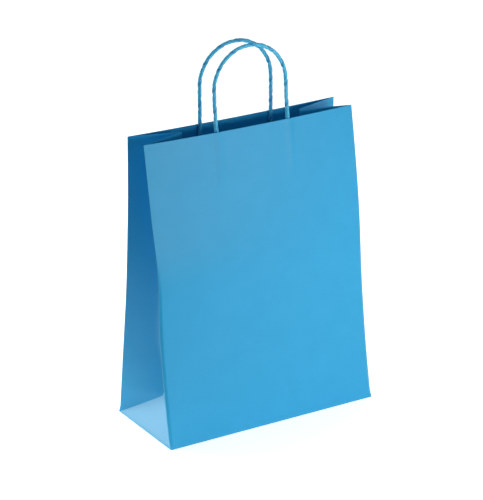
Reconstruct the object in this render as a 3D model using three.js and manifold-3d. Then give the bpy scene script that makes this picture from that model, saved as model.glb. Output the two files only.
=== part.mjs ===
// Paper carrier bag with twisted paper handles, standing open.
// Millimetres, +Z up, +X along the width, +Y to the back. The origin is the middle of the base.

import * as THREE from 'three';
import { mergeVertices } from 'three/addons/utils/BufferGeometryUtils.js';
import Module from 'manifold-3d';

const wasm = await Module();
wasm.setup();

// The sheet: trade size of the bag and its paper.
const bagWidth = 240;
const baseDepth = 110;
const rimHeight = 308;
const paper = 0.15;
const fold = 1.2;
const seamWidth = 18;
const flapOverlap = 24;

// How the opened bag stands: the mouth is narrower than the base, and the panels are a little curved.
const mouthFront = 14.4;
const mouthBack = 18.5;
const frontWave = 1.8;
const backBow = 5.6;
const backWave = 1.3;
const frontRimBow = 4.5;
const backRimBow = 3.5;
const bulge = 5.2;
const bulgeHeight = 178;
const bulgeReach = 32;
const creaseHeight = 32.5;

// The handles: twisted paper cord, bent to a round arch.
const cordRadius = 2.1;
const cordGroove = 0.55;
const twistPitch = 16;
const legSpacing = 82;
const legBelowRim = 50;
const frontLoopHeight = 80.5;
const rearLoopHeight = 79.3;
const leanReach = 28;
const frontHandleShift = 1.5;
const rearHandleShift = -0.1;

// The strips glued over the handles' legs, and the marks that the legs press into the panels.
const patchWidth = 130;
const patchHeight = 40;
const patchBelowRim = 16;
const glueGap = 0.3;
const channelHalfWidth = 7;
const pressDepth = 0.6;
const pressHalfWidth = 6;
const pressFade = 5;

// Fineness of the curved faces.
const cordSides = 10;
const cordStep = 2.4;
const sideColumns = 4;
const middleColumns = 5;
const closestColumns = 1;
const facetLevels = 3;
const wallLevels = 11;
const fadeLevels = 2;
const legLevels = 3;
const patchLevels = 6;

const halfWidth = bagWidth / 2;
const halfDepth = baseDepth / 2;
const legEnd = rimHeight - legBelowRim;
const flapTop = 2 * paper;
const tabTop = 3 * paper;

// Kraft paper dyed through, and the same paper twisted into cord.
const bagPaper = new THREE.MeshStandardMaterial({ color: 0x4ba5d2, roughness: 0.55, metalness: 0 });
const cordPaper = new THREE.MeshStandardMaterial({ color: 0x3f97c8, roughness: 0.65, metalness: 0 });
const patchPaper = new THREE.MeshStandardMaterial({ color: 0x4ba5d2, roughness: 0.6, metalness: 0 });

const { lerp, smoothstep, clamp } = THREE.MathUtils;

// The count values that start at one end and stop short of the other.
function steps(from, to, count) {
  return Array.from({ length: count }, (_, i) => lerp(from, to, i / count));
}

// A smooth hump, 1 at its middle and 0 from the half width outwards.
function hump(distance, halfSpan) {
  const reach = clamp(Math.abs(distance) / halfSpan, 0, 1);
  return (1 + Math.cos(Math.PI * reach)) / 2;
}

// The fold lines between the panels and the gussets. Side is -1 on the left and 1 on the right.
function frontFoldY(side, z) {
  const rise = z / rimHeight;
  const lean = lerp(-halfDepth, -mouthFront, rise);
  const wave = frontWave * Math.sin(2 * Math.PI * rise);
  const belly = side < 0 ? bulge * Math.exp(-(((z - bulgeHeight) / bulgeReach) ** 2) / 2) : 0;
  return lean + wave - belly * Math.sin(Math.PI * rise);
}

function backFoldY(z) {
  const rise = z / rimHeight;
  const lean = lerp(halfDepth, mouthBack, rise);
  return lean - backBow * Math.sin(Math.PI * rise) + backWave * Math.sin(2 * Math.PI * rise);
}

// Each panel: where its outer face lies, which way is inside, and how its handle stands.
const frontPanel = {
  inward: 1,
  shift: frontHandleShift,
  loopHeight: frontLoopHeight,
  smoothY(x, z) {
    const across = (x + halfWidth) / bagWidth;
    const chord = lerp(frontFoldY(-1, z), frontFoldY(1, z), across);
    return chord - frontRimBow * rimCurve(x, z);
  },
};

const backPanel = {
  inward: -1,
  shift: rearHandleShift,
  loopHeight: rearLoopHeight,
  smoothY(x, z) {
    return backFoldY(z) - backRimBow * rimCurve(x, z);
  },
};

// The panels are straight at the base and curved across at the rim.
function rimCurve(x, z) {
  const rise = Math.sin((Math.PI / 2) * (z / rimHeight));
  return rise * (1 - (x / halfWidth) ** 2);
}

function legPlaces(panel) {
  return [panel.shift - legSpacing / 2, panel.shift + legSpacing / 2];
}

// How far the glued legs press a panel outwards.
function pressed(panel, x, z) {
  const start = smoothstep(z, legEnd - pressFade, legEnd);
  const humps = legPlaces(panel).map((leg) => hump(x - leg, pressHalfWidth));
  return pressDepth * start * Math.max(...humps);
}

function outerY(panel, x, z) {
  return panel.smoothY(x, z) - panel.inward * pressed(panel, x, z);
}

// Columns across a panel: even ones, and closer ones where a leg is glued.
function panelColumns(panel, from, to, nearLeg) {
  const [left, right] = legPlaces(panel);
  const reach = nearLeg[nearLeg.length - 1];
  const spread = [...nearLeg.slice(1).reverse().map((offset) => -offset), ...nearLeg];
  const around = (leg) => spread.map((offset) => leg + offset);
  return [
    ...steps(from, left - reach, sideColumns),
    ...around(left),
    ...steps(left + reach, right - reach, middleColumns).slice(1),
    ...around(right),
    ...steps(to, right + reach, sideColumns).reverse(),
  ];
}

// Half a gusset is as wide as half the base, so its middle fold moves in as the bag closes.
function middleFoldDepth(side, z) {
  const halfOpen = (backFoldY(z) - frontFoldY(side, z)) / 2;
  return Math.sqrt(Math.max(halfDepth ** 2 - halfOpen ** 2, 0));
}

// A gusset's outline from front to back. Below the crease height a flat facet rises from the base.
function gussetOutline(side, z) {
  const edge = side * halfWidth;
  const front = new THREE.Vector2(edge, frontFoldY(side, z) + fold / 2);
  const back = new THREE.Vector2(edge, backFoldY(z) - fold / 2);
  const above = Math.max(z, creaseHeight);
  const rise = clamp((z - tabTop) / (creaseHeight - tabTop), 0, 1);
  const middleY = (frontFoldY(side, above) + backFoldY(above)) / 2;
  const x = edge - side * rise * middleFoldDepth(side, above);
  const creaseFront = new THREE.Vector2(x, lerp(-halfDepth + 2 * fold, middleY - fold / 2, rise));
  const creaseBack = new THREE.Vector2(x, lerp(halfDepth - 2 * fold, middleY + fold / 2, rise));
  const inFront = creaseFront.clone().sub(front).setLength(fold).add(front);
  const inBack = creaseBack.clone().sub(back).setLength(fold).add(back);
  return [front, inFront, creaseFront, creaseBack, inBack, back];
}

// The whole outline at one height, anticlockwise from above, with the layers of paper at each point.
const pressOffsets = [0, pressHalfWidth / 2, pressHalfWidth];
const panelEnd = halfWidth - fold;
const seamEdge = panelEnd - seamWidth;
const frontColumns = panelColumns(frontPanel, -panelEnd, panelEnd, pressOffsets);
const backColumns = panelColumns(backPanel, -panelEnd, panelEnd, pressOffsets)
  .filter((x) => Math.abs(x - seamEdge) > closestColumns)
  .concat(seamEdge, seamEdge - paper)
  .sort((a, b) => b - a);

function outline(z) {
  const points = [];
  const add = (x, y, layers = 1) => points.push({ x, y, layers });
  frontColumns.forEach((x) => add(x, outerY(frontPanel, x, z)));
  gussetOutline(1, z).forEach((p) => add(p.x, p.y));
  backColumns.forEach((x) => add(x, outerY(backPanel, x, z), x >= seamEdge ? 2 : 1));
  gussetOutline(-1, z).reverse().forEach((p) => add(p.x, p.y));
  return points;
}

// The same outline moved inwards by the paper's thickness, each corner along its mitre.
function moveInwards(points) {
  return points.map((point, i) => {
    const before = points[(i + points.length - 1) % points.length];
    const after = points[(i + 1) % points.length];
    const a = new THREE.Vector2(before.y - point.y, point.x - before.x).normalize();
    const b = new THREE.Vector2(point.y - after.y, after.x - point.x).normalize();
    const mitre = a.clone().add(b).normalize();
    const distance = (paper * point.layers) / mitre.dot(a);
    return { x: point.x + mitre.x * distance, y: point.y + mitre.y * distance };
  });
}

// A closed body between two grids of points. Rows run upwards, and columns run anticlockwise seen
// from above. A tube joins its last column to its first.
function sheetBody(outer, inner, isTube) {
  const rows = outer.length;
  const columns = outer[0].length;
  const points = [...outer.flat(), ...inner.flat()];
  const positions = new Float32Array(points.flatMap((p) => [p.x, p.y, p.z]));
  const index = [];
  const out = (row, column) => row * columns + (column % columns);
  const inn = (row, column) => rows * columns + out(row, column);
  const quad = (a, b, c, d) => index.push(a, b, c, a, c, d);
  for (let column = 0; column < (isTube ? columns : columns - 1); column += 1) {
    for (let row = 0; row < rows - 1; row += 1) {
      quad(out(row, column), out(row, column + 1), out(row + 1, column + 1), out(row + 1, column));
      quad(inn(row, column), inn(row + 1, column), inn(row + 1, column + 1), inn(row, column + 1));
    }
    quad(out(rows - 1, column), out(rows - 1, column + 1), inn(rows - 1, column + 1), inn(rows - 1, column));
    quad(inn(0, column), inn(0, column + 1), out(0, column + 1), out(0, column));
  }
  for (let row = 0; row < (isTube ? 0 : rows - 1); row += 1) {
    quad(inn(row, 0), out(row, 0), out(row + 1, 0), inn(row + 1, 0));
    quad(out(row, columns - 1), inn(row, columns - 1), inn(row + 1, columns - 1), out(row + 1, columns - 1));
  }
  const geometry = new THREE.BufferGeometry();
  geometry.setAttribute('position', new THREE.BufferAttribute(positions, 3));
  geometry.setIndex(index);
  return geometry;
}

// Booleans: a closed geometry becomes a solid, and a solid becomes a geometry again.
function solidOf(geometry) {
  const bare = geometry.clone();
  bare.deleteAttribute('normal');
  bare.deleteAttribute('uv');
  const merged = mergeVertices(bare);
  const vertProperties = new Float32Array(merged.getAttribute('position').array);
  const triVerts = new Uint32Array(merged.getIndex().array);
  return new wasm.Manifold(new wasm.Mesh({ numProp: 3, vertProperties, triVerts }));
}

function geometryOf(solid) {
  const { vertProperties, triVerts } = solid.getMesh();
  const geometry = new THREE.BufferGeometry();
  geometry.setAttribute('position', new THREE.BufferAttribute(new Float32Array(vertProperties), 3));
  geometry.setIndex(new THREE.BufferAttribute(new Uint32Array(triVerts), 1));
  return geometry;
}

// A flat layer of the bottom, from its outline and the heights of its two faces.
function layer(corners, under, over) {
  const shape = new THREE.Shape(corners.map(([x, y]) => new THREE.Vector2(x, y)));
  const geometry = new THREE.ExtrudeGeometry(shape, { depth: over - under, bevelEnabled: false });
  return solidOf(geometry.translate(0, 0, under));
}

// The block bottom: end tabs inside, then the front flap with the corner folds, and the back flap
// outermost. The long flaps are cut at 45 degrees by their folded corners, and overlap in the middle.
const flapReach = halfDepth + flapOverlap / 2;
const bond = paper / 4;
const beyond = 2 * fold;

function endTab(side) {
  const edge = side * halfWidth;
  const inner = edge - side * flapReach;
  const [left, right] = [Math.min(edge, inner), Math.max(edge, inner)];
  return layer(
    [[left, -halfDepth], [right, -halfDepth], [right, halfDepth], [left, halfDepth]],
    flapTop - bond,
    tabTop,
  );
}

function cornerFold(side) {
  const edge = side * halfWidth;
  const inner = edge - side * flapReach;
  return layer(
    [[edge, halfDepth], [inner, halfDepth], [inner, halfDepth - flapReach]],
    paper - bond,
    flapTop,
  );
}

function longFlap(inward, under, over) {
  const base = -inward * halfDepth;
  const free = base + inward * flapReach;
  return layer(
    [[-halfWidth, base], [halfWidth, base], [halfWidth - flapReach, free], [flapReach - halfWidth, free]],
    under,
    over,
  );
}

// What the flaps leave open from below: the ends of the base, and all of the front beside the back flap.
function endOpening(side) {
  const edge = side * (halfWidth + beyond);
  const tip = side * (halfWidth - halfDepth);
  return layer([[edge, -halfDepth - beyond], [tip, 0], [edge, halfDepth + beyond]], -paper, flapTop - bond);
}

function frontOpening() {
  const edge = halfWidth + beyond;
  const free = halfDepth - flapReach;
  const near = -halfDepth - beyond;
  return layer([[-edge, near], [edge, near], [edge, free], [-edge, free]], -paper, paper - bond);
}

function bottom() {
  const footprint = outline(tabTop).map((p) => [p.x, p.y]);
  const folds = [endTab(-1), endTab(1), cornerFold(-1), cornerFold(1)];
  const flaps = [longFlap(1, paper - bond, flapTop), longFlap(-1, 0, paper)];
  return [...folds, ...flaps]
    .reduce((joined, part) => joined.add(part))
    .intersect(layer(footprint, -paper, tabTop + paper));
}

// The folded sheet: panels and gussets as one tube, with the bottom folded and glued under it.
function bagBody() {
  const levels = [
    0,
    ...steps(tabTop, creaseHeight, facetLevels),
    ...steps(creaseHeight, legEnd - pressFade, wallLevels),
    ...steps(legEnd - pressFade, legEnd, fadeLevels),
    ...steps(legEnd, rimHeight, legLevels),
    rimHeight,
  ];
  const at = (z) => (p) => new THREE.Vector3(p.x, p.y, z);
  const outer = levels.map((z) => outline(z).map(at(z)));
  const inner = levels.map((z) => moveInwards(outline(z)).map(at(z)));
  const sleeve = solidOf(sheetBody(outer, inner, true));
  return [endOpening(-1), endOpening(1), frontOpening()]
    .reduce((whole, gap) => whole.subtract(gap), sleeve.add(bottom()));
}

// Where the middle of a glued leg lies: against the panel inside, and above the rim straightening up.
function legY(panel, x, z) {
  const seat = panel.inward * (paper + glueGap + cordRadius);
  const onPanel = (height) => outerY(panel, x, height) + seat;
  const over = z - rimHeight;
  const lean = onPanel(rimHeight) - onPanel(rimHeight - 1);
  const straightening = lean * leanReach * (1 - Math.exp(-over / leanReach));
  return over > 0 ? onPanel(rimHeight) + straightening : onPanel(z);
}

// The middle line of a handle: up one leg, round the arch and down the other leg.
class HandlePath extends THREE.Curve {
  constructor(panel) {
    super();
    this.panel = panel;
    this.radius = legSpacing / 2;
    this.archBase = rimHeight + panel.loopHeight - this.radius;
    this.leg = this.archBase - legEnd;
    this.span = 2 * this.leg + Math.PI * this.radius;
  }

  getPoint(fraction, target = new THREE.Vector3()) {
    const along = fraction * this.span;
    const turn = clamp((along - this.leg) / this.radius, 0, Math.PI);
    const below = Math.max(this.leg - along, along - (this.span - this.leg), 0);
    const x = this.panel.shift - this.radius * Math.cos(turn);
    const z = this.archBase + this.radius * Math.sin(turn) - below;
    const legX = this.panel.shift - this.radius * Math.sign(Math.cos(turn));
    return target.set(x, legY(this.panel, legX, z), z);
  }

  // The section turns about the line as it goes, once in each pitch.
  computeFrenetFrames(segments, closed) {
    const frames = super.computeFrenetFrames(segments, closed);
    const turnPerStep = (2 * Math.PI * this.span) / (twistPitch * segments);
    frames.tangents.forEach((tangent, i) => {
      frames.normals[i].applyAxisAngle(tangent, turnPerStep * i);
      frames.binormals[i].applyAxisAngle(tangent, turnPerStep * i);
    });
    return frames;
  }
}

// The cord's section: round, with the groove where the edge of the rolled strip lies.
function cordSection() {
  const points = steps(0, 2 * Math.PI, cordSides).map((angle) => {
    const radius = cordRadius - cordGroove * Math.max(Math.cos(angle), 0) ** 3;
    return new THREE.Vector2(radius * Math.cos(angle), radius * Math.sin(angle));
  });
  return new THREE.Shape(points);
}

function handle(panel) {
  const extrudePath = new HandlePath(panel);
  const count = Math.round(extrudePath.span / cordStep);
  return new THREE.ExtrudeGeometry(cordSection(), { steps: count, extrudePath, bevelEnabled: false });
}

// A strip glued inside the panel, raised into a channel over each leg.
function patch(panel) {
  const top = rimHeight - patchBelowRim;
  const channel = 2 * cordRadius + glueGap - pressDepth;
  const offsets = [0, channelHalfWidth / 4, channelHalfWidth / 2, channelHalfWidth];
  const left = panel.shift - patchWidth / 2;
  const columns = panelColumns(panel, left, left + patchWidth, offsets);
  const heights = [...steps(top - patchHeight, top, patchLevels), top];
  const face = (depth) => heights.map((z) => columns.map((x) => {
    const raised = Math.max(...legPlaces(panel).map((leg) => hump(x - leg, channelHalfWidth)));
    const y = panel.smoothY(x, z) + panel.inward * (depth + channel * raised);
    return new THREE.Vector3(x, y, z);
  }));
  const near = face(paper + glueGap);
  const far = face(2 * paper + glueGap);
  return panel.inward > 0 ? sheetBody(near, far, false) : sheetBody(far, near, false);
}

// The assembled bag, one mesh for each piece of paper or cord.
const bag = new THREE.Group();

function addPiece(name, geometry, material) {
  const flat = geometry.getIndex() ? geometry.toNonIndexed() : geometry;
  flat.computeVertexNormals();
  const mesh = new THREE.Mesh(flat, material);
  mesh.name = name;
  bag.add(mesh);
}

addPiece('bag_body', geometryOf(bagBody()), bagPaper);
addPiece('front_handle', handle(frontPanel), cordPaper);
addPiece('rear_handle', handle(backPanel), cordPaper);
addPiece('front_handle_patch', patch(frontPanel), patchPaper);
addPiece('rear_handle_patch', patch(backPanel), patchPaper);

export default bag;
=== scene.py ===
"""Paper carrier bag with twisted paper handles, in blue dyed kraft, on a white light table."""

import math

import bpy
from mathutils import Matrix, Vector, noise


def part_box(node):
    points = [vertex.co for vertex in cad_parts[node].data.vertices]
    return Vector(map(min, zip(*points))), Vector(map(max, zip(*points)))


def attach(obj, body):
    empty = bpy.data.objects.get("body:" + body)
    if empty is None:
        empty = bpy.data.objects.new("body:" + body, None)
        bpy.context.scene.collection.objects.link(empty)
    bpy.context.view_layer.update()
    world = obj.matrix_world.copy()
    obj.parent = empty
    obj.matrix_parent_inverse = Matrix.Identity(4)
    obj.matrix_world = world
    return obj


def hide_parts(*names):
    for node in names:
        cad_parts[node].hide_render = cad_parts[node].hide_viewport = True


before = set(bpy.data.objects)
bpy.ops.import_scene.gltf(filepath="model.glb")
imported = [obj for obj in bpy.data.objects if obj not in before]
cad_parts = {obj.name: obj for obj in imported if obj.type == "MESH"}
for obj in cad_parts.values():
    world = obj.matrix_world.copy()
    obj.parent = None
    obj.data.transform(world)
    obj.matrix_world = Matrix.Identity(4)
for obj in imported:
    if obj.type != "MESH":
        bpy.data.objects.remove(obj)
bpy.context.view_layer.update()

MM = 0.001

# The bag's own sizes, from the frame.
BODY_LOW, BODY_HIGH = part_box("bag_body")
HALF_WIDTH = (BODY_HIGH.x - BODY_LOW.x) / 2
HALF_DEPTH = BODY_HIGH.y
RIM = BODY_HIGH.z
LEG_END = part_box("front_handle")[0].z

# The paper and its folds.
PAPER = 0.15 * MM
FOLD = 1.2 * MM
FOLD_ROUNDING = 0.9 * MM
TIGHT_FOLD = FOLD * 0.45
CREASE_HEIGHT = 32.5 * MM
CREASE_SOFTNESS = 0.03
TAB_TOP = 3 * PAPER
FLAP_TOP = 2 * PAPER
FLAP_OVERLAP = 24 * MM
SEAM_WIDTH = 18 * MM

# The lip beside a low fold, where the panel's end turns in before the gusset. A pair is a range of heights.
LIP_START = 5.5 * MM
LIP_WIDTH = 2.8 * MM
LIP_DEPTH = 2.1 * MM
LIP_FOOT = 8 * MM
LIP_FADES = (120 * MM, 210 * MM)

# The gusset's middle fold: bowed open low down, sharp above.
OPEN_BOW = 34 * MM
CLOSED_BOW = 1.5 * MM
BOW_CLOSES = (150 * MM, 290 * MM)
FACET_BLEND = 75 * MM

# How the opened bag stands: the mouth, the waves of its folds, and the bulge low on the left.
MOUTH_FRONT = 14.4 * MM
MOUTH_BACK = 18.5 * MM
FRONT_WAVE = 1.8 * MM
BACK_BOW = 5.6 * MM
BACK_WAVE = 1.3 * MM
FRONT_RIM_BOW = 4.5 * MM
BACK_RIM_BOW = 3.5 * MM
BULGE = 5.2 * MM
BULGE_HEIGHT = 178 * MM
BULGE_REACH = 32 * MM
RIPPLE = 0.35 * MM
RIPPLE_WIDTH = 70 * MM
RIPPLE_HEIGHT = 110 * MM
RIPPLE_FOOT = 60 * MM

# The twisted cords.
CORD_RADIUS = 2.1 * MM
LEG_SPACING = 82 * MM
LEAN_REACH = 28 * MM
TWIST_PITCH = 21 * MM
TWIST_DRIFT = 1.5 * MM
TWIST_DRIFT_LENGTH = 30 * MM
CORD_GROOVE = 0.6 * MM
GROOVE_SHARPNESS = 5
# How narrow the line of painted shade along the cord's groove is.
GROOVE_SHADE_SHARPNESS = 3
CORD_CREASES = ((2.3, 0.16 * MM, 8), (-1.9, 0.12 * MM, 9))
CORD_UNEVENNESS = 0.14 * MM
CORD_UNEVEN_LENGTH = 9 * MM

# The glued legs and the strips over them.
GLUE_GAP = 0.3 * MM
CHANNEL_HALF_WIDTH = 7 * MM
PRESS_DEPTH = 0.6 * MM
PRESS_HALF_WIDTH = 6 * MM
PRESS_FADE = 5 * MM

# How finely the sheets and cords are drawn.
PANEL_COLUMNS = 120
GUSSET_COLUMNS = 12
FOLD_STEPS = 8
SEAM_COLUMNS = 12
SHEET_ROWS = 104
FACET_ROWS = 12
STRIP_COLUMNS = 130
STRIP_ROWS = 27
CORD_SIDES = 36
CORD_STEP = 0.8 * MM
SMOOTH_DEGREES = 50


def mix(a, b, share):
    return a + (b - a) * share


def clamp(value, low=0.0, high=1.0):
    return min(max(value, low), high)


def hump(distance, half_span):
    """1 in the middle, falling smoothly to 0 at the half span."""
    return (1 + math.cos(math.pi * clamp(abs(distance) / half_span))) / 2


def ridge(angle, sharpness):
    """1 at angle 0, falling to 0 a quarter turn away, faster if it is sharper."""
    return max(math.cos(angle), 0) ** sharpness


def ease(value, low, high):
    share = clamp((value - low) / (high - low))
    return share * share * (3 - 2 * share)


def soft_floor(value, softness):
    """The value above 0 and 0 below it, with a rounded bend."""
    return (value + math.hypot(value, softness)) / 2


# The folded form

def front_fold_y(side, z):
    """Depth of the fold between the front panel and a gusset: side -1 is left, 1 is right."""
    rise = z / RIM
    lean = mix(-HALF_DEPTH, -MOUTH_FRONT, rise)
    wave = FRONT_WAVE * math.sin(2 * math.pi * rise)
    belly = BULGE * math.exp(-(((z - BULGE_HEIGHT) / BULGE_REACH) ** 2) / 2) if side < 0 else 0
    return lean + wave - belly * math.sin(math.pi * rise)


def back_fold_y(z):
    rise = z / RIM
    lean = mix(HALF_DEPTH, MOUTH_BACK, rise)
    return lean - BACK_BOW * math.sin(math.pi * rise) + BACK_WAVE * math.sin(2 * math.pi * rise)


def rim_curve(x, z):
    """How far a panel bows at its middle: not at all at the base and the folds, most at the rim."""
    return math.sin(math.pi / 2 * z / RIM) * (1 - (x / HALF_WIDTH) ** 2)


def ripple(x, z, seed):
    """Slight unevenness of the paper, none at the folds and the base."""
    free = (1 - (x / HALF_WIDTH) ** 2) * ease(z, 0, RIPPLE_FOOT)
    place = Vector((x / RIPPLE_WIDTH, seed, z / RIPPLE_HEIGHT))
    return RIPPLE * free * noise.noise(place)


class Panel:
    """The front or back of the bag: which way is inside, and where its handle is glued."""

    def __init__(self, name, inward, handle, seed):
        self.name = name
        self.inward = inward
        self.seed = seed
        low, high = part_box(handle)
        self.middle = (low.x + high.x) / 2
        self.legs = (self.middle - LEG_SPACING / 2, self.middle + LEG_SPACING / 2)
        self.loop_top = high.z - CORD_RADIUS

    def smooth_y(self, x, z):
        """Depth of the panel's outer face, without the marks of the legs."""
        if self.name == "front":
            across = (x + HALF_WIDTH) / (2 * HALF_WIDTH)
            chord = mix(front_fold_y(-1, z), front_fold_y(1, z), across)
            return chord - FRONT_RIM_BOW * rim_curve(x, z) + ripple(x, z, self.seed)
        return back_fold_y(z) - BACK_RIM_BOW * rim_curve(x, z) + ripple(x, z, self.seed)

    def pressed(self, x, z):
        """How far a glued leg presses the panel outwards."""
        start = ease(z, LEG_END - PRESS_FADE, LEG_END)
        return PRESS_DEPTH * start * max(hump(x - leg, PRESS_HALF_WIDTH) for leg in self.legs)

    def outer_y(self, x, z):
        return self.smooth_y(x, z) - self.inward * self.pressed(x, z)


FRONT = Panel("front", 1, "front_handle", 3.7)
BACK = Panel("back", -1, "rear_handle", 8.2)


def middle_fold_depth(side, z):
    """How far the middle fold lies inside the bag's side. The gusset keeps its width as the mouth closes."""
    half_open = (back_fold_y(z) - front_fold_y(side, z)) / 2
    return math.sqrt(max(HALF_DEPTH ** 2 - half_open ** 2, 0))


def gusset_corners(side, z):
    """The folds of a gusset from front to back, as points across the bag."""
    edge = side * HALF_WIDTH
    share = (z - TAB_TOP) / (CREASE_HEIGHT - TAB_TOP)
    rise = clamp(1 - soft_floor(1 - share, CREASE_SOFTNESS))
    above = CREASE_HEIGHT * (1 + soft_floor(z / CREASE_HEIGHT - 1, CREASE_SOFTNESS))
    middle_y = (front_fold_y(side, above) + back_fold_y(above)) / 2
    x = edge - side * rise * middle_fold_depth(side, above)
    return [
        Vector((edge, front_fold_y(side, z))),
        Vector((x, mix(-HALF_DEPTH + 2 * FOLD, middle_y - FOLD / 2, rise))),
        Vector((x, mix(HALF_DEPTH - 2 * FOLD, middle_y + FOLD / 2, rise))),
        Vector((edge, back_fold_y(z))),
    ]


def rounded(before, corner, after, reach, steps=FOLD_STEPS):
    """Points round a fold, on a curve that starts and ends the reach away from its corner."""
    parts_of_side = 2.1  # just under half a side for each fold, so that neighbours stay apart
    start = corner + (before - corner).normalized() * min(reach, (before - corner).length / parts_of_side)
    end = corner + (after - corner).normalized() * min(reach, (after - corner).length / parts_of_side)
    shares = [step / steps for step in range(steps + 1)]
    return [start.lerp(corner, share).lerp(corner.lerp(end, share), share) for share in shares]


def between(start, end, count):
    """The points inside a straight stretch, without its ends."""
    return [start.lerp(end, step / count) for step in range(1, count)]


def panel_points(panel, z, from_x, to_x):
    """The points inside a panel's width, without its ends."""
    xs = [mix(from_x, to_x, column / PANEL_COLUMNS) for column in range(1, PANEL_COLUMNS)]
    return [Vector((x, panel.outer_y(x, z))) for x in xs]


def middle_fold(front, crease_front, crease_back, back, z):
    """Two creases round the facet at the base. Above it they run into one fold, softly bowed low down."""
    first = rounded(front, crease_front, crease_back, TIGHT_FOLD)
    second = rounded(crease_front, crease_back, back, TIGHT_FOLD)
    apart = first + between(first[-1], second[0], 2) + second
    bow = mix(OPEN_BOW, CLOSED_BOW, ease(z, *BOW_CLOSES))
    joined = rounded(front, (crease_front + crease_back) / 2, back, bow, len(apart) - 1)
    blend = ease(z, CREASE_HEIGHT, CREASE_HEIGHT + FACET_BLEND)
    return [a.lerp(b, blend) for a, b in zip(apart, joined)]


def nearness(count):
    """For points round a fold, how near each is to its middle."""
    return [hump(index - (count - 1) / 2, (count - 1) / 2) for index in range(count)]


def gusset_points(side, z):
    """A gusset from the front panel's end to the back panel's, as (point, nearness to a fold)."""
    lip = LIP_DEPTH * ease(z, 0, LIP_FOOT) * (1 - ease(z, *LIP_FADES))
    ends = [side * (HALF_WIDTH - LIP_START), side * (HALF_WIDTH - LIP_WIDTH)]
    fold_front, crease_front, crease_back, fold_back = gusset_corners(side, z)
    fold_front.y += lip
    fold_back.y -= lip
    front_end, front_lip = [Vector((x, FRONT.outer_y(x, z))) for x in ends]
    back_end, back_lip = [Vector((x, BACK.outer_y(x, z))) for x in ends]
    front_lip_turn, front_turn, middle_turn, back_turn, back_lip_turn = range(5)
    turns = [
        rounded(front_end, front_lip, fold_front, LIP_WIDTH / 3),
        rounded(front_lip, fold_front, crease_front, FOLD_ROUNDING),
        middle_fold(fold_front, crease_front, crease_back, fold_back, z),
        rounded(crease_back, fold_back, back_lip, FOLD_ROUNDING),
        rounded(fold_back, back_lip, back_end, LIP_WIDTH / 3),
    ]
    points = [(front_end, 0.0)]
    for index, turn in enumerate(turns):
        if index in (middle_turn, back_turn):
            points += [(point, 0.0) for point in between(points[-1][0], turn[0], GUSSET_COLUMNS)]
        at_lip = index in (front_lip_turn, back_lip_turn)
        points += [(point, 0.0 if at_lip else near) for point, near in zip(turn, nearness(len(turn)))]
    return points + [(back_end, 0.0)]


def outline(z):
    """The bag's outline at one height, anticlockwise from above, as (point, nearness to a fold)."""
    end = HALF_WIDTH - LIP_START
    front = [(point, 0.0) for point in panel_points(FRONT, z, -end, end)]
    back = [(point, 0.0) for point in panel_points(BACK, z, end, -end)]
    return front + gusset_points(1, z) + back + gusset_points(-1, z)[::-1]


# Modelling helpers

def select_none():
    if bpy.context.object and bpy.context.object.mode != "OBJECT":
        bpy.ops.object.mode_set(mode="OBJECT")
    bpy.ops.object.select_all(action="DESELECT")


def face_outwards(piece):
    """Turns every face of a closed piece outwards."""
    select_none()
    bpy.context.view_layer.objects.active = piece
    piece.select_set(True)
    bpy.ops.object.mode_set(mode="EDIT")
    bpy.ops.mesh.select_all(action="SELECT")
    bpy.ops.mesh.normals_make_consistent(inside=False)
    bpy.ops.object.mode_set(mode="OBJECT")


def spot(point):
    """A point's place to a thousandth of a millimetre, to find it again by."""
    return tuple(round(c, 6) for c in point)


def shaped_grid(name, columns, rows, place, closed=False):
    """A grid primitive whose points are moved to place(column, row). A closed one is a tube."""
    select_none()
    bpy.ops.mesh.primitive_grid_add(x_subdivisions=columns, y_subdivisions=rows, size=1)
    piece = bpy.context.object
    piece.name = piece.data.name = name
    for vertex in piece.data.vertices:
        column = round((vertex.co.x + 0.5) * columns)
        row = round((vertex.co.y + 0.5) * rows)
        vertex.co = place(column % columns if closed else column, row)
    bpy.ops.object.mode_set(mode="EDIT")
    bpy.ops.mesh.select_all(action="SELECT")
    bpy.ops.mesh.remove_doubles(threshold=0.001 * MM)
    bpy.ops.object.mode_set(mode="OBJECT")
    return piece


def thicken(piece, inward=True):
    """Gives a sheet the thickness of the paper, and smooth shading except at its edges."""
    wall = piece.modifiers.new("wall", "SOLIDIFY")
    wall.thickness = PAPER
    wall.offset = -1 if inward else 1
    bpy.context.view_layer.objects.active = piece
    bpy.ops.object.modifier_apply(modifier=wall.name)
    bpy.ops.object.shade_smooth_by_angle(angle=math.radians(SMOOTH_DEGREES))


def join(parts, name):
    select_none()
    for part in parts:
        part.select_set(True)
    bpy.context.view_layer.objects.active = parts[0]
    bpy.ops.object.join()
    parts[0].name = parts[0].data.name = name
    return parts[0]


def mark_folds(piece, near=None):
    """Writes for each point how near it is to a fold, for the light and shade that the material paints
    there.
    """
    near = near or {}
    layer = piece.data.attributes.new("fold", "FLOAT", "POINT")
    layer.data.foreach_set("value", [near.get(spot(vertex.co), 0.0) for vertex in piece.data.vertices])


# The bag's sheet

def row_heights():
    """Heights of the sheet's rows, closer together in the facets at the base."""
    low = [0, TAB_TOP, *[CREASE_HEIGHT * step / FACET_ROWS for step in range(1, FACET_ROWS)]]
    rest = SHEET_ROWS - len(low)
    return low + [mix(CREASE_HEIGHT, RIM, step / rest) for step in range(rest + 1)]


def make_sleeve():
    """The panels and gussets: one tube of paper, open at the top."""
    heights = row_heights()
    rows = [outline(z) for z in heights]
    columns = len(rows[0])

    def place(column, row):
        point = rows[row][column][0]
        return Vector((point.x, point.y, heights[row]))

    sleeve = shaped_grid("bag_sheet", columns, len(heights) - 1, place, closed=True)
    near = {}
    for row in range(len(heights)):
        for column in range(columns):
            near[spot(place(column, row))] = rows[row][column][1]
    mark_folds(sleeve, near)
    thicken(sleeve)
    return sleeve


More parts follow.
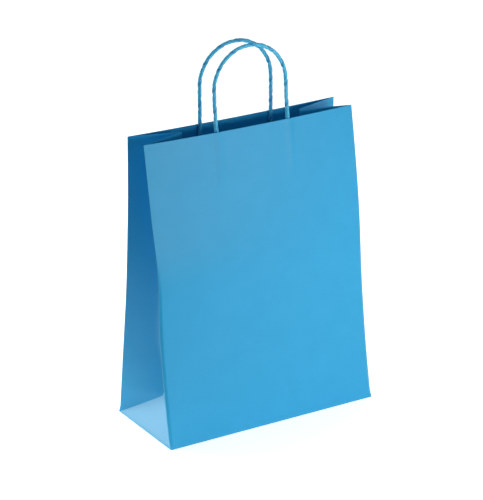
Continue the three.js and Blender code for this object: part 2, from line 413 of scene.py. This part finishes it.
def make_seam():
    """The sheet's glued edge: a second layer up the right of the back panel, on its inside."""
    heights = row_heights()[1:]

    def place(column, row):
        x = mix(HALF_WIDTH - FOLD - SEAM_WIDTH, HALF_WIDTH - LIP_START, column / SEAM_COLUMNS)
        return Vector((x, BACK.outer_y(x, heights[row]) - 2 * PAPER, heights[row]))

    seam = shaped_grid("glued_seam", SEAM_COLUMNS, len(heights) - 1, place)
    mark_folds(seam)
    thicken(seam)
    return seam


def flat_layer(name, corners, under, over):
    """A flat layer of the bottom: a prism as thick as the paper, whose edges go to the corners."""
    select_none()
    bpy.ops.mesh.primitive_cylinder_add(
        vertices=len(corners), radius=1, depth=2, end_fill_type="NGON", location=(0, 0, 0)
    )
    piece = bpy.context.object
    piece.name = name
    lower = [vertex for vertex in piece.data.vertices if vertex.co.z < 0]
    upper = [vertex for vertex in piece.data.vertices if vertex.co.z > 0]
    for vertices, height in ((lower, under), (upper, over)):
        for vertex, corner in zip(vertices, corners):
            vertex.co = Vector((corner[0], corner[1], height))
    face_outwards(piece)
    mark_folds(piece)
    return piece


def make_bottom():
    """End tabs inside, then the front flap with the back's corner folds, and the back flap outermost."""
    reach = HALF_DEPTH + FLAP_OVERLAP / 2
    free = reach - HALF_DEPTH
    wide = HALF_WIDTH - PAPER
    deep = HALF_DEPTH - PAPER
    inner = HALF_WIDTH - reach
    layers = []
    for side in (-1, 1):
        low, high = sorted((side * wide, side * inner))
        tab = [(low, -deep), (high, -deep), (high, deep), (low, deep)]
        layers.append(flat_layer("end_tab", tab, FLAP_TOP, TAB_TOP))
        corner_fold = [(side * wide, deep), (side * inner, deep), (side * inner, -free)]
        layers.append(flat_layer("corner_fold", corner_fold, PAPER, FLAP_TOP))
    front = [(-wide, -deep), (wide, -deep), (inner, free), (-inner, free)]
    back = [(-inner, -free), (inner, -free), (wide, deep), (-wide, deep)]
    layers.append(flat_layer("front_flap", front, PAPER, FLAP_TOP))
    layers.append(flat_layer("back_flap", back, 0, PAPER))
    return layers


# The handles

def leg_y(panel, x, z):
    """Depth of a cord's middle: glued against the panel, and straightening up above the rim."""
    seat = panel.inward * (PAPER + GLUE_GAP + CORD_RADIUS)
    if z <= RIM:
        return panel.outer_y(x, z) + seat
    at_rim = panel.outer_y(x, RIM) + seat
    lean = (at_rim - (panel.outer_y(x, RIM - MM) + seat)) / MM
    return at_rim + lean * LEAN_REACH * (1 - math.exp(-(z - RIM) / LEAN_REACH))


def handle_path(panel):
    """Points along a handle's middle line: up one leg, round the arch, down the other."""
    radius = LEG_SPACING / 2
    arch_base = panel.loop_top - radius
    leg = arch_base - LEG_END
    span = 2 * leg + math.pi * radius
    count = round(span / CORD_STEP)
    points = []
    for step in range(count + 1):
        along = span * step / count
        turn = clamp((along - leg) / radius, 0, math.pi)
        below = max(leg - along, along - (span - leg), 0)
        x = panel.middle - radius * math.cos(turn)
        z = arch_base + radius * math.sin(turn) - below
        side = 1 if math.cos(turn) >= 0 else -1
        points.append(Vector((x, leg_y(panel, panel.middle - side * radius, z), z)))
    return points, span


def cord_radius_at(angle, along, seed):
    """The rolled strip's section: a deep groove at its edge, and soft creases between."""
    groove = CORD_GROOVE * ridge(angle, GROOVE_SHARPNESS)
    crease = sum(depth * ridge(angle - place, sharpness) for place, depth, sharpness in CORD_CREASES)
    way = Vector((math.cos(angle), seed, along / CORD_UNEVEN_LENGTH))
    return CORD_RADIUS - groove - crease + CORD_UNEVENNESS * noise.noise(way)


def cord_twist(along, seed):
    """How far the cord has turned: one turn a pitch, a little faster here and slower there."""
    drift = TWIST_DRIFT * noise.noise(Vector((along / TWIST_DRIFT_LENGTH, seed, 0)))
    return 2 * math.pi * (along + drift) / TWIST_PITCH


def make_handle(name, panel, seed):
    """A cord with its ends closed, drawn as rings round its middle line."""
    path, span = handle_path(panel)
    rows = len(path) - 1
    side_axis = Vector((0, 1, 0))
    angles = [2 * math.pi * column / CORD_SIDES for column in range(CORD_SIDES)]
    rings = []
    grooves = {}
    for row, centre in enumerate(path):
        ahead = path[min(row + 1, rows)] - path[max(row - 1, 0)]
        along_axis = ahead.normalized()
        across = (side_axis - along_axis * side_axis.dot(along_axis)).normalized()
        up = along_axis.cross(across)
        along = span * row / rows
        twist = cord_twist(along, seed)
        ring = []
        for angle in angles:
            outwards = across * math.cos(angle + twist) + up * math.sin(angle + twist)
            point = centre + outwards * cord_radius_at(angle, along, seed)
            ring.append(point)
            # How much painted shade the groove's line gives this point.
            grooves[spot(point)] = ridge(angle, GROOVE_SHADE_SHARPNESS)
        rings.append(ring)
    cord = shaped_grid(name, CORD_SIDES, rows, lambda column, row: rings[row][column], closed=True)
    mark_folds(cord, grooves)
    bpy.ops.object.mode_set(mode="EDIT")
    bpy.ops.mesh.select_mode(type="EDGE")
    bpy.ops.mesh.select_all(action="DESELECT")
    bpy.ops.mesh.select_non_manifold()
    bpy.ops.mesh.edge_face_add()
    face_outwards(cord)
    return cord


# The strips glued over the legs

def make_strip(name, panel, node):
    """A strip of paper raised into a channel over each leg."""
    low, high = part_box(node)
    channel = 2 * CORD_RADIUS + GLUE_GAP - PRESS_DEPTH

    def place(column, row):
        x = mix(low.x, high.x, column / STRIP_COLUMNS)
        z = mix(low.z, high.z, row / STRIP_ROWS)
        raised = max(hump(x - leg, CHANNEL_HALF_WIDTH) for leg in panel.legs)
        y = panel.smooth_y(x, z) + panel.inward * (PAPER + GLUE_GAP + channel * raised)
        return Vector((x, y, z))

    strip = shaped_grid(name, STRIP_COLUMNS, STRIP_ROWS, place)
    mark_folds(strip)
    thicken(strip, inward=panel.inward > 0)
    face_outwards(strip)
    return strip


# Materials

def linear(hex_colour):
    """An sRGB hex colour as linear values."""
    channels = [int(hex_colour[i:i + 2], 16) / 255 for i in (1, 3, 5)]
    return [c / 12.92 if c <= 0.04045 else ((c + 0.055) / 1.055) ** 2.4 for c in channels] + [1]


def add(tree, kind, settings=None, **links):
    """Adds a node with its settings and links. A link's name is the input, with _ for a space."""
    node = tree.nodes.new(kind)
    for key, value in (settings or {}).items():
        if hasattr(node, key):
            setattr(node, key, value)
        else:
            node.inputs[key].default_value = value
    for key, source in links.items():
        tree.links.new(source, node.inputs[key.replace("_", " ")])
    return node


def paper_material(name, shade, deep, painted_fold_colour, painted_fold_share, roughness, fibre_width, bump):
    """Kraft paper dyed through: two near shades in clouds and level fibres, and a third colour painted near
    its folds for the light or shade that falls there.
    """
    fibre_slimness = 0.16   # width to length
    fibre_share = 0.6       # of the colour's unevenness, with the clouds the rest
    cloud_width = 18 * MM   # thicker and thinner places in the pulp
    noise_range = (0.35, 0.65)
    roughness_spread = 0.05
    fibre_height = 0.1 * MM

    material = bpy.data.materials.new(name)
    material.use_nodes = True
    tree = material.node_tree
    tree.nodes.clear()

    place = add(tree, "ShaderNodeTexCoord").outputs["Object"]
    stretched = add(
        tree, "ShaderNodeMapping", {"Scale": (fibre_slimness, fibre_slimness, 1)}, Vector=place
    ).outputs["Vector"]
    fibre = add(
        tree,
        "ShaderNodeTexNoise",
        {"Scale": 1 / fibre_width, "Detail": 4, "Roughness": 0.6},
        Vector=stretched,
    ).outputs["Fac"]
    cloud = add(
        tree, "ShaderNodeTexNoise", {"Scale": 1 / cloud_width, "Detail": 3}, Vector=place
    ).outputs["Fac"]
    both = add(
        tree, "ShaderNodeMix", {"data_type": "FLOAT", "Factor": fibre_share}, A=cloud, B=fibre
    ).outputs[0]
    spread = add(
        tree,
        "ShaderNodeMapRange",
        {"From Min": noise_range[0], "From Max": noise_range[1]},
        Value=both,
    ).outputs["Result"]
    plain = add(
        tree,
        "ShaderNodeMix",
        {"data_type": "RGBA", "A": linear(deep), "B": linear(shade)},
        Factor=spread,
    ).outputs["Result"]

    # The fold colour is painted in by nearness to a fold: a painted highlight on the bag's folds, painted
    # shade in the cord's groove.
    at_fold = add(tree, "ShaderNodeAttribute", {"attribute_name": "fold"}).outputs["Fac"]
    painted_fold_amount = add(
        tree, "ShaderNodeMapRange", {"To Max": painted_fold_share}, Value=at_fold
    ).outputs["Result"]
    colour = add(
        tree, "ShaderNodeMix", {"data_type": "RGBA", "B": linear(painted_fold_colour)}, Factor=painted_fold_amount, A=plain
    ).outputs["Result"]

    rough = add(
        tree,
        "ShaderNodeMapRange",
        {
            "From Min": 0.3,
            "From Max": 0.7,
            "To Min": roughness - roughness_spread,
            "To Max": roughness + roughness_spread,
        },
        Value=fibre,
    ).outputs["Result"]
    relief = add(
        tree, "ShaderNodeBump", {"Strength": bump, "Distance": fibre_height}, Height=fibre
    ).outputs["Normal"]
    shader = add(
        tree,
        "ShaderNodeBsdfPrincipled",
        {"IOR": 1.5, "Specular IOR Level": 0.4},
        Base_Color=colour,
        Roughness=rough,
        Normal=relief,
    )
    add(tree, "ShaderNodeOutputMaterial", Surface=shader.outputs["BSDF"])
    return material


def give(piece, material, node):
    """Gives a piece its material in one slot, puts it under the root body, and hides the CAD node that it
    stands for.
    """
    piece.data.materials.clear()
    piece.data.materials.append(material)
    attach(piece, "root")
    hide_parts(node)


# The studio

def stage_material(name, colour, glow=0.0):
    material = bpy.data.materials.new(name)
    material.use_nodes = True
    shader = material.node_tree.nodes["Principled BSDF"]
    shader.inputs["Base Color"].default_value = linear(colour)
    shader.inputs["Roughness"].default_value = 0.9
    shader.inputs["Emission Color"].default_value = (1, 1, 1, 1)
    shader.inputs["Emission Strength"].default_value = glow
    return material


def area_light(name, azimuth, elevation, distance, width, height, power):
    """A softbox that faces the middle of the bag. Azimuth 0 is in front, 90 to the right."""
    a, e = math.radians(azimuth), math.radians(elevation)
    away = Vector((math.sin(a) * math.cos(e), -math.cos(a) * math.cos(e), math.sin(e)))
    lamp = bpy.data.lights.new(name, "AREA")
    lamp.shape = "RECTANGLE"
    lamp.size = width
    lamp.size_y = height
    lamp.energy = power
    holder = bpy.data.objects.new(name, lamp)
    bpy.context.scene.collection.objects.link(holder)
    holder.location = Vector((0, 0, RIM / 2)) + away * distance
    holder.rotation_euler = away.to_track_quat("Z", "Y").to_euler()


def make_table():
    """A lit white table, as bright as the photo's background."""
    select_none()
    bpy.ops.mesh.primitive_plane_add(size=8, location=(0, 0, 0))
    table = bpy.context.object
    table.name = "light_table"
    table.data.materials.append(stage_material("white_lit_acrylic", "#F6F6F6", glow=0.62))


def make_card():
    """A dark card on the table between the bag and the camera, below the picture."""
    nearest = 0.28
    reach = 1.8
    left, right = -1.6, 0.25
    to_camera = Vector((-0.51, -0.86, 0))
    to_right = Vector((0.86, -0.51, 0))
    select_none()
    bpy.ops.mesh.primitive_plane_add(size=2, location=(0, 0, 0))
    card = bpy.context.object
    card.name = "dark_card"
    for vertex in card.data.vertices:
        away = mix(nearest, nearest + reach, (1 - vertex.co.y) / 2)
        across = mix(left, right, (1 + vertex.co.x) / 2)
        vertex.co = to_camera * away + to_right * across + Vector((0, 0, MM))
    card.data.materials.append(stage_material("black_card", "#080808"))


def make_studio():
    make_table()
    world = bpy.data.worlds.new("studio")
    world.use_nodes = True
    background = world.node_tree.nodes["Background"]
    background.inputs["Color"].default_value = (1, 1, 1, 1)
    background.inputs["Strength"].default_value = 0.1
    bpy.context.scene.world = world
    # The overhead light keeps the table white, and its slant leaves the inside of the bag dark.
    area_light(
        "overhead_softbox", azimuth=166, elevation=69, distance=2.4, width=3.0, height=3.0, power=29
    )
    # The front light is near and level with the rim, so that the panel is even from rim to foot.
    area_light(
        "front_softbox", azimuth=15, elevation=12, distance=0.85, width=0.6, height=0.25, power=3.3
    )
    # The rear light gives the facet at the foot of the left gusset its sheen.
    area_light(
        "rear_left_softbox", azimuth=-148, elevation=19, distance=1.5, width=0.8, height=0.8, power=17
    )
    make_card()
    scene = bpy.context.scene
    scene.view_settings.view_transform = "Standard"
    scene.view_settings.look = "None"


def make_camera():
    """The camera of the photograph, found from the bag's corners in the 483 x 500 frame."""
    place = Vector((-1.1360, -1.9115, 1.0258))
    looks_along = Vector((0.47592, 0.80295, -0.35886))
    roll = math.radians(-0.71)
    focal_px = 2354.9
    image_height_px = 500
    sensor_mm = 36
    data = bpy.data.cameras.new("camera")
    data.sensor_width = sensor_mm
    data.lens = focal_px * sensor_mm / image_height_px
    camera = bpy.data.objects.new("camera", data)
    bpy.context.scene.collection.objects.link(camera)
    turned = looks_along.to_track_quat("-Z", "Y") @ Matrix.Rotation(roll, 3, "Z").to_quaternion()
    camera.location = place
    camera.rotation_mode = "QUATERNION"
    camera.rotation_quaternion = turned
    bpy.context.scene.camera = camera


make_camera()
make_studio()

# Machine-finished kraft paper, dyed through: smooth, with a dull soft sheen, faint clouds and fine
# level streaks of fibre, and a painted highlight, a paler line along each fold for the light that its
# rounded edge catches. Real fibres are about 0.03 mm wide, too fine to show in the render, so they
# are drawn about 1 mm wide.
BAG_KRAFT = paper_material(
    "blue_machine_finished_kraft",
    shade="#26AAE0",
    deep="#1CA5DA",
    painted_fold_colour="#8AD4F2",
    painted_fold_share=0.5,
    roughness=0.48,
    fibre_width=1.1 * MM,
    bump=0.35,
)

# The same kraft as a strip twisted to a cord by machine: painted paler than the sheet, a painted
# sheen for the light that its stretched faces catch, with a line of painted shade winding round it
# in the groove at the strip's edge.
# Its fibres are drawn about 0.5 mm wide for the same reason.
CORD_KRAFT = paper_material(
    "blue_twisted_kraft_cord",
    shade="#5CCAF0",
    deep="#38B2E2",
    painted_fold_colour="#187FBE",
    painted_fold_share=0.65,
    roughness=0.42,
    fibre_width=0.5 * MM,
    bump=0.4,
)

bag = join([make_sleeve(), make_seam(), *make_bottom()], "bag_sheet")
give(bag, BAG_KRAFT, "bag_body")
give(make_handle("front_cord", FRONT, 1.3), CORD_KRAFT, "front_handle")
give(make_handle("rear_cord", BACK, 5.9), CORD_KRAFT, "rear_handle")
front_strip = make_strip("front_strip", FRONT, "front_handle_patch")
rear_strip = make_strip("rear_strip", BACK, "rear_handle_patch")
give(front_strip, BAG_KRAFT, "front_handle_patch")
give(rear_strip, BAG_KRAFT, "rear_handle_patch")
